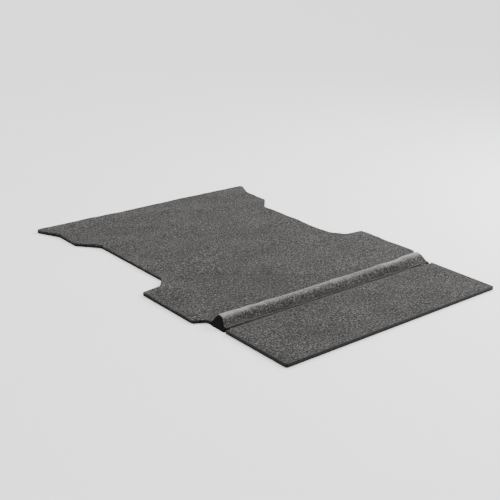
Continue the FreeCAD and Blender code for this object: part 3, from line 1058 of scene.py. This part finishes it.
def tooth_section(reach):
    """A hammer-headed tooth seen from above, from its root to its tip."""
    shoulder, neck_end = reach - HEAD_LENGTH, reach - SHOULDER_LENGTH
    right = [
        (TOOTH_NECK, TOOTH_ROOT, 0), (TOOTH_NECK, neck_end, 0.3 * MM), (TOOTH_HEAD, shoulder, 0.3 * MM),
        (TOOTH_HEAD, reach, 0.5 * MM),
    ]
    left = [(-x, y, radius) for x, y, radius in reversed(right)]
    return rounded([*right, *left], 2)


def make_teeth(name, node, side):
    """A moulded row of teeth on a rounded rail. side is where the teeth point."""
    points = cad_points(node)
    tip, rail = span(node, 1)[::-side]
    low, high = span(node, 2)
    middle, half = (low + high) / 2, (high - low) / 2
    edges = np.unique(np.round(points[np.abs(points[:, 1] - tip) < SAME_PLACE, 0], 6))
    places = edges.reshape(-1, 2).mean(axis=1)
    outline = tooth_section(abs(tip - rail))
    eased = half - TOOTH_EASING
    rings = drawn_in(outline, [(TOOTH_EASING, -half), (0, -eased), (0, eased), (TOOTH_EASING, half)])
    tooth = np.vstack([np.column_stack([flat, np.full(len(flat), z)]) for flat, z in rings])
    points, faces = [], []
    for n, x in enumerate(places):
        points.append(np.column_stack([x + tooth[:, 0], rail + side * tooth[:, 1], middle + tooth[:, 2]]))
        faces += tube_faces(len(rings), len(outline), n * len(tooth))
    y0, y1 = sorted((rail, rail + side * RAIL_WIDTH))
    section = rectangle(y0, y1, middle - half * 0.8, middle + half * 0.8, 0.5 * MM, 2)
    faces += tube_faces(2, len(section), len(places) * len(tooth))
    points += [np.column_stack([np.full(len(section), x), section]) for x in span(node, 0)]
    row = make_piece(name, np.vstack(points), faces, PLASTIC, "gap_guard", node)
    row.data.set_sharp_from_angle(angle=math.radians(50))


make_teeth("zipper_teeth_guard", "zip_teeth_guard_side", -1)
make_teeth("zipper_teeth_tailgate", "zip_teeth_tailgate_side", 1)
softened_copy("zip_retainer_box", 0.5 * MM, PLASTIC, "gap_guard", 2)
softened_copy("zip_insertion_pin", 0.4 * MM, PLASTIC, "gap_guard", 2)
softened_copy("zip_top_stops", 0.5 * MM, PLASTIC, "gap_guard", 2)
softened_copy("slider_body", 0.45 * MM, ENAMEL, "zip_slider", 3)
softened_copy("slider_crown", 0.4 * MM, ENAMEL, "zip_slider", 3)
softened_copy("pull_tab", 0.35 * MM, ENAMEL, "zip_pull", 3)


# Tailgate mat


def tailgate_ring(side=0.0, front=0.0, steps=8):
    """The mat's edge with round corners, drawn in by side on three sides and by front in front."""
    half, rear, foremost = MAT_HALF - side, MAT_REAR + side, MAT_FRONT - front
    turn = max(MAT_CORNER - side, 3 * MM)
    corners = [
        (-half, rear, turn), (half, rear, turn), (half, foremost, MAT_FRONT_CORNER),
        (-half, foremost, MAT_FRONT_CORNER),
    ]
    arcs = rounded(corners, steps).reshape(4, steps + 1, 2)
    points = []
    for k, length in enumerate((2 * MAT_HALF, MAT_FRONT - MAT_REAR) * 2):
        shares = np.linspace(0, 1, round(length / EDGE_STEP))[1:-1, None]
        points += [arcs[k], arcs[k][-1] + shares * (arcs[(k + 1) % 4][0] - arcs[k][-1])]
    return np.vstack(points)


def make_tailgate_carpet():
    """The mat's carpet: rolled at the front, pressed flat under the binding on the other sides."""
    outline = tailgate_ring()
    bound = np.clip((MAT_FRONT - outline[:, 1]) / (8 * MM), 0, 1)
    over_tape = (bound < 0.01) & (np.abs(outline[:, 0]) < ZIP_SPAN)
    low = np.where(over_tape, ZIP_TAPE_TOP, CARPET_LOW)
    under = CARPET_TOP - BINDING_CLOTH - 0.2 * MM
    wall, flange = BINDING_WALL, BINDING_FLANGE
    pressed = [
        (wall, CARPET_LOW), (wall, under - 1.0 * MM), (wall + 0.6 * MM, under - 0.2 * MM),
        (wall + 2 * MM, under), (flange, under), (flange + 1.4 * MM, under + 0.8 * MM),
        (flange + 4 * MM, CARPET_TOP - 0.2 * MM), (flange + 8 * MM, CARPET_TOP),
    ]
    rolled = [(0.0, low), *rounding(ROLLED_EDGE, CARPET_TOP, 6)]
    rings = [
        (tailgate_ring(side, front), bound * side_z + (1 - bound) * front_z)
        for (side, side_z), (front, front_z) in zip(pressed, rolled)
    ]
    recess = rectangle(-ZIP_SPAN, ZIP_SPAN, ZIP_TAPE_REACH, MAT_FRONT - 1.5 * MM)
    swell = waves(31, 200 * MM, 600 * MM)
    creases = waves(32, 50 * MM, 130 * MM)
    nap = waves(33, 17 * MM, 40 * MM, 60)

    def height(x, y):
        from_edge = np.minimum(MAT_HALF - np.abs(x), y - MAT_REAR)
        free = np.clip((from_edge - BINDING_FLANGE) / (40 * MM), 0, 1)
        slow = 0.9 * MM * swell(x, y) + 0.35 * MM * creases(x, y)
        return slow * free + NAP_HEIGHT * nap(x, y) * np.clip(free * 4, 0, 1)

    lay_carpet("tailgate", rings, recess, ZIP_TAPE_TOP - CARPET_LOW, height)


def make_tailgate_foam():
    """The foam, cut back where the binding folds under it."""
    flange = tailgate_ring(BINDING_FLANGE + 0.2 * MM)
    wall = tailgate_ring(BINDING_WALL + 0.1 * MM)
    step = BINDING_CLOTH + 0.1 * MM
    lay_foam("tailgate", [(flange, 0.0), (flange, step), (wall, step + 0.3 * MM), (wall, CARPET_LOW)])


def binding_path(step):
    """Down the left side, along the rear and up the right side, with inward normals."""
    corners = [
        (-MAT_HALF, MAT_FRONT, 0), (-MAT_HALF, MAT_REAR, MAT_CORNER), (MAT_HALF, MAT_REAR, MAT_CORNER),
        (MAT_HALF, MAT_FRONT, 0),
    ]
    path = evened(rounded(corners, 10), step, closed=False)
    return path, leftward(np.gradient(path, axis=0))


def make_binding():
    """Woven tape folded round the mat's edge and sewn through, with a pucker at every stitch."""
    path, normals = binding_path(STITCH_PITCH / 4)
    cloth, wall, flange = BINDING_CLOTH, BINDING_WALL, BINDING_FLANGE
    rim = 0.5 * MM
    outer = [(flange, CARPET_TOP, rim), (0.0, CARPET_TOP, 3.2 * MM), (0.0, 0.0, 2.4 * MM), (flange, 0.0, rim)]
    inner = [
        (flange, cloth, rim), (wall, cloth, 1.2 * MM), (wall, CARPET_TOP - cloth, 1.8 * MM),
        (flange, CARPET_TOP - cloth, rim),
    ]
    section = evened(rounded(outer + inner, 3), 1.5 * MM)
    edge_wave = waves(41, 30 * MM, 140 * MM)
    puff = waves(42, 12 * MM, 60 * MM)

    def sewn(along, inset, z):
        beat = 0.5 + 0.5 * np.cos(2 * math.pi * along / STITCH_PITCH)
        near = np.exp(-(((inset - STITCH_INSET) / (1.6 * MM)) ** 2))
        sink = (0.25 + 0.35 * beat) * near * MM
        inset = inset + (0.35 * edge_wave(along, 0 * along) * MM) * np.clip(inset / flange, 0, 1)
        outward = np.clip(1 - inset / (2 * MM), 0, 1) * (0.25 * puff(along, z) * MM)
        return inset - outward, z - np.where(z > CARPET_TOP / 2, sink, -0.2 * sink)

    node = "tailgate_edge_binding"
    binding = swept("tailgate_binding", path, normals, section, BINDING, "tailgate_mat", node, sewn)
    line = path + normals * STITCH_INSET
    for name, z, up in (("top", CARPET_TOP - 0.15 * MM, 1), ("bottom", 0.15 * MM, -1)):
        name = "tailgate_binding_stitches_" + name
        place = np.column_stack([line, np.full(len(line), z)])
        stitch_row(name, place, (0, 0, up), BLACK_THREAD, "tailgate_mat")


def make_seam_stitching():
    """The rows that hold the tapes under the mats' rolled edges."""
    reach = ZIP_SPAN - 8 * MM
    for mat, y in (("floor", FLOOR_REAR + SEAM_SETBACK), ("tailgate", MAT_FRONT - SEAM_SETBACK)):
        path = np.array([(-reach, y, CARPET_TOP), (reach, y, CARPET_TOP)])
        stitch_row(mat + "_seam_stitching", path, (0, 0, 1), GREY_THREAD, mat + "_mat")


make_tailgate_carpet()
make_tailgate_foam()
make_binding()
make_seam_stitching()


# Hook-and-loop fastening


def make_strips(name, node, finish, body):
    """Cut strips with rounded corners, one in every pocket."""
    low, high = span(node, 2)
    edge = min(0.3 * MM, (high - low) / 3)
    for n, loop in enumerate(end_face_loops(node, 2, 1)):
        (x0, y0), (x1, y1) = loop.min(0), loop.max(0)
        outline = evened(rectangle(x0, x1, y0, y1, 5 * MM), 4 * MM)
        rings = drawn_in(outline, [(edge, low), (0.0, low + edge), (0.0, high - edge), (edge, high)])
        slab(f"{name}_{n + 1}", rings, finish, body, node)


for mat in ("floor", "tailgate"):
    make_strips(mat + "_adhesive", mat + "_adhesive_pads", ADHESIVE, mat + "_mat")
    make_strips(mat + "_hook", mat + "_hook_strips", HOOKS, mat + "_mat")
    make_strips(mat + "_loop", mat + "_loop_patches", LOOPS, mat + "_mat")


# Studio


def make_floor_plane():
    bpy.ops.mesh.primitive_plane_add(size=80, location=(0, 0, -0.6 * MM))
    plane = bpy.context.object
    plane.name = "studio_floor"
    plane.data.materials.append(studio_finish().material)


def add_light(name, kind, power, towards, place=(0, 0, 0), **settings):
    """A light at that place, shining from that direction."""
    light = bpy.data.lights.new(name, kind)
    light.energy = power
    for setting, value in settings.items():
        setattr(light, setting, value)
    lamp = bpy.data.objects.new(name, light)
    lamp.location = place
    lamp.rotation_euler = Vector(towards).to_track_quat("Z", "Y").to_euler()
    bpy.context.scene.collection.objects.link(lamp)


def make_studio():
    make_floor_plane()
    world = bpy.data.worlds.new("studio")
    world.use_nodes = True
    backdrop = world.node_tree.nodes["Background"]
    backdrop.inputs["Color"].default_value = (0.97, 0.985, 1.0, 1)
    backdrop.inputs["Strength"].default_value = 0.85
    bpy.context.scene.world = world
    add_light("key", "SUN", 3.4, (0.35, 0.85, 0.95), angle=math.radians(50))
    add_light("overhead", "SUN", 1.95, (-0.2, -0.1, 1.0), angle=math.radians(100))
    box = {"shape": "RECTANGLE", "size": 2.5, "size_y": 1.6}
    add_light("side", "AREA", 380, (3.2, -1.4, 2.6), (3.9, -1.9, 2.6), **box)


make_studio()
